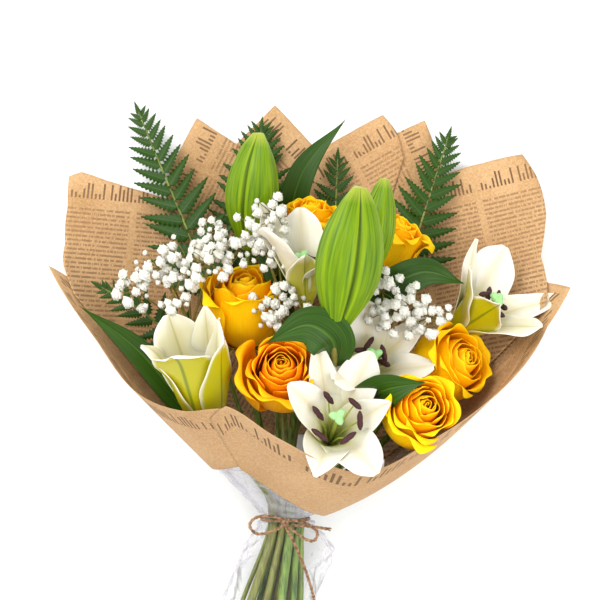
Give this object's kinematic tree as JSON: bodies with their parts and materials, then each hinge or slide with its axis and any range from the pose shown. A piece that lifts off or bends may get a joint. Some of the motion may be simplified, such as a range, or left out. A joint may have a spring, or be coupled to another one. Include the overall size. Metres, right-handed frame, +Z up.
{
  "type": "flower bouquet",
  "caption": "Hand-tied mixed bouquet lying on its back: roses, lilies, fern and gypsophila wrapped in kraft paper over clear film, tied with jute twine.",
  "frame": {"origin": "on the flat underside of the wrap that the bouquet lies on, under the middle of the flowers", "axes": "+Z up from the surface it lies on, +Y from the cut stems to the flower heads, +X to the right seen from above with the heads up"},
  "size_m": [0.4187, 0.453, 0.1848],
  "materials": {
    "yellow_petals": "matte petal",
    "orange_petals": "matte petal",
    "white_petals": "satin petal",
    "green_bud": "satin bud",
    "lily_centre": "matte",
    "stem": "satin stem",
    "leaf": "satin leaf",
    "fern": "satin leaf",
    "white_florets": "matte",
    "kraft_paper": "matte printed paper",
    "clear_film": "clear crinkled film",
    "jute_twine": "twisted fibre"
  },
  "bodies": {
    "root": {"rose_1_bloom": "yellow_petals", "rose_2_bloom": "orange_petals", "rose_3_bloom": "yellow_petals", "rose_4_bloom": "yellow_petals", "rose_5_bloom": "yellow_petals", "rose_6_bloom": "yellow_petals", "lily_1_bloom": "white_petals", "lily_2_bloom": "white_petals", "lily_3_bloom": "white_petals", "lily_4_bloom": "white_petals", "lily_5_bloom": "white_petals", "bud_1": "green_bud", "bud_2": "green_bud", "bud_3": "green_bud", "rose_1_stem": "stem", "rose_2_stem": "stem", "rose_3_stem": "stem", "rose_4_stem": "stem", "rose_5_stem": "stem", "rose_6_stem": "stem", "lily_1_stem": "leaf", "lily_2_stem": "leaf", "lily_3_stem": "leaf", "lily_4_stem": "leaf", "lily_5_stem": "leaf", "lily_1_centre": "lily_centre", "lily_2_centre": "lily_centre", "lily_3_centre": "lily_centre", "lily_4_centre": "lily_centre", "lily_5_centre": "lily_centre", "fern_1": "fern", "fern_2": "fern", "fern_3": "fern", "fern_4": "fern", "fern_5": "fern", "gypsophila_1": "white_florets", "gypsophila_2": "white_florets", "gypsophila_3": "white_florets", "gypsophila_4": "white_florets", "paper_back_1": "kraft_paper", "paper_back_2": "kraft_paper", "paper_back_3": "kraft_paper", "paper_back_4": "kraft_paper", "paper_back_5": "kraft_paper", "paper_back_6": "kraft_paper", "paper_left": "kraft_paper", "paper_front": "kraft_paper", "film_sleeve": "clear_film", "twine_tie": "jute_twine", "twine_tail_long": "jute_twine", "twine_tail_short": "jute_twine"}
  },
  "joints": []
}
